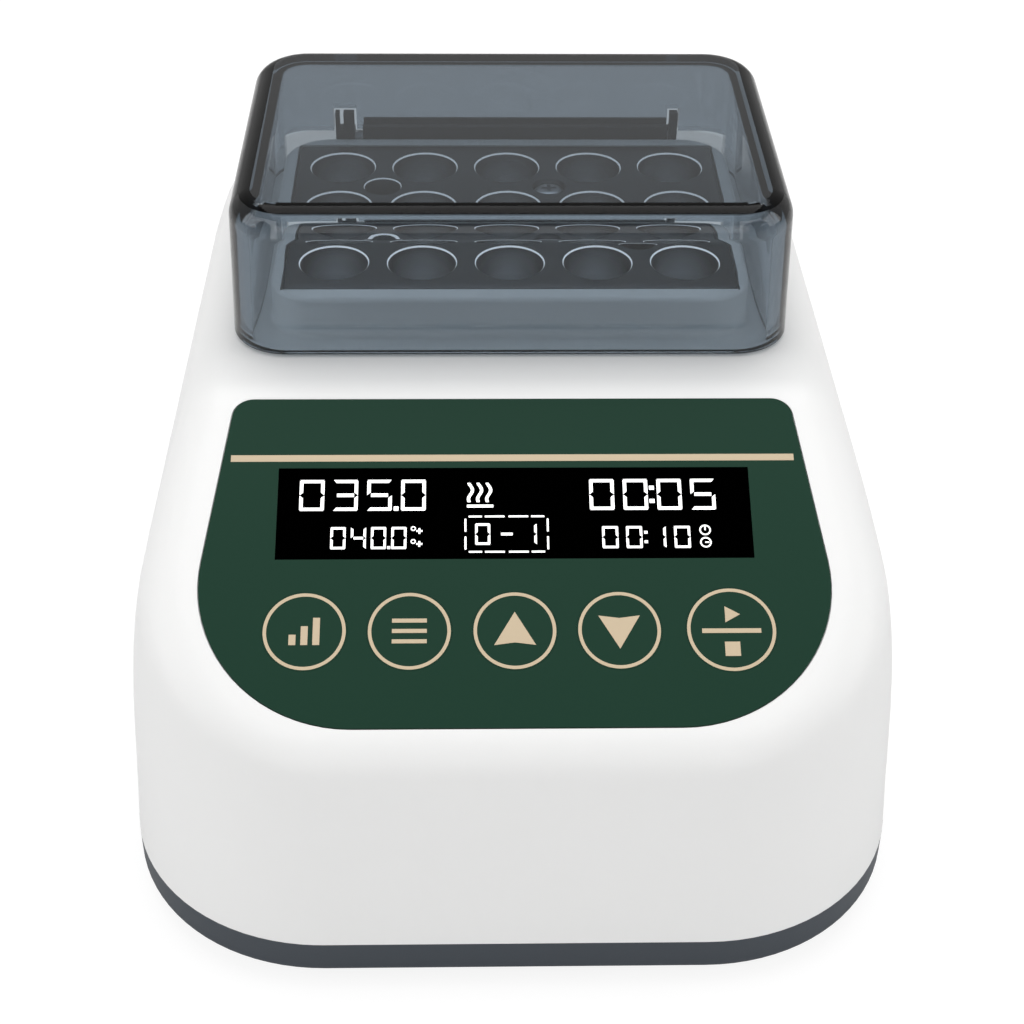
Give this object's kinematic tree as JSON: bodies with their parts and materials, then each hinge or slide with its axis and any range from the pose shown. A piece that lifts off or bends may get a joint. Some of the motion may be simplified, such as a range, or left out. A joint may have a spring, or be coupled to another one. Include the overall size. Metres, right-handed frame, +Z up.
{
  "type": "dry bath incubator",
  "caption": "Bench dry bath incubator: white housing on a dark base, sloping control panel with keys, bored aluminium block under a hinged clear cover.",
  "frame": {"origin": "on the bench under the middle of the body, at the bottom of the feet", "axes": "+Z up, -Y towards the user and the control panel, +X to the user's right"},
  "size_m": [0.118, 0.1579, 0.0925],
  "materials": {
    "housing_white": "satin moulded",
    "base_grey": "fine texture",
    "overlay_green": "satin printed film",
    "window_black": "gloss",
    "circuit_board": "solder mask",
    "display_module": "gloss",
    "component_black": "moulded",
    "steel": "zinc plated",
    "block_aluminium": "anodised satin",
    "plate_aluminium": "milled",
    "heater_silicone": "matt",
    "insulation_foam": "foam",
    "foot_rubber": "matt",
    "ferrite": "matt",
    "header_white": "moulded",
    "nut_nickel": "nickel plated",
    "lid_smoke": "clear smoked",
    "hinge_black": "anodised black"
  },
  "bodies": {
    "base": {"upper_housing": "housing_white", "base_tray": "base_grey", "control_overlay": "overlay_green", "display_window": "window_black", "display_board": "circuit_board", "lcd_module": "display_module", "key_switches": "component_black", "display_board_screws": "steel", "heating_block": "block_aluminium", "block_screw": "steel", "heater_plate": "plate_aluminium", "heater_mat": "heater_silicone", "insulation_pad": "insulation_foam", "heater_tray": "steel", "heater_tray_screws": "steel", "insulation_jacket": "insulation_foam", "temperature_sensor": "steel", "thermal_cutout": "component_black", "foot_front_left": "foot_rubber", "foot_front_right": "foot_rubber", "foot_rear_left": "foot_rubber", "foot_rear_right": "foot_rubber", "housing_screws": "steel", "main_board": "circuit_board", "main_board_screws": "steel", "capacitors": "plate_aluminium", "power_inductor": "ferrite", "transistor_heatsink": "plate_aluminium", "power_transistor": "component_black", "control_chip": "component_black", "cable_headers": "header_white", "buzzer": "component_black", "dc_jack": "component_black", "dc_jack_nut": "nut_nickel", "power_switch_body": "component_black", "hinge_bracket": "hinge_black", "hinge_bracket_screws": "steel"},
    "lid": {"lid_cover": "lid_smoke", "hinge_bar": "hinge_black", "hinge_pin": "steel"},
    "key_program_body": {"key_program": "overlay_green"},
    "key_menu_body": {"key_menu": "overlay_green"},
    "key_up_body": {"key_up": "overlay_green"},
    "key_down_body": {"key_down": "overlay_green"},
    "key_start_stop_body": {"key_start_stop": "overlay_green"},
    "rocker": {"power_switch_rocker": "component_black"}
  },
  "joints": [
    {"name": "lid_hinge", "type": "hinge", "parent": "base", "child": "lid", "pos_m": [0, 0.0508, 0.074], "axis": [-1, 0, 0], "range_deg": [0, 100]},
    {"name": "key_program_press", "type": "slide", "parent": "base", "child": "key_program_body", "axis": [0, 0.4602, -0.8878], "range_m": [0, 0.0004], "stiffness_N_per_m": 1500},
    {"name": "key_menu_press", "type": "slide", "parent": "base", "child": "key_menu_body", "axis": [0, 0.4602, -0.8878], "range_m": [0, 0.0004], "stiffness_N_per_m": 1500},
    {"name": "key_up_press", "type": "slide", "parent": "base", "child": "key_up_body", "axis": [0, 0.4602, -0.8878], "range_m": [0, 0.0004], "stiffness_N_per_m": 1500},
    {"name": "key_down_press", "type": "slide", "parent": "base", "child": "key_down_body", "axis": [0, 0.4602, -0.8878], "range_m": [0, 0.0004], "stiffness_N_per_m": 1500},
    {"name": "key_start_stop_press", "type": "slide", "parent": "base", "child": "key_start_stop_body", "axis": [0, 0.4602, -0.8878], "range_m": [0, 0.0004], "stiffness_N_per_m": 1500},
    {"name": "power_switch_tilt", "type": "hinge", "parent": "base", "child": "rocker", "pos_m": [0.02, 0.0735, 0.024], "axis": [0, 0, 1], "range_deg": [0, 18]}
  ]
}
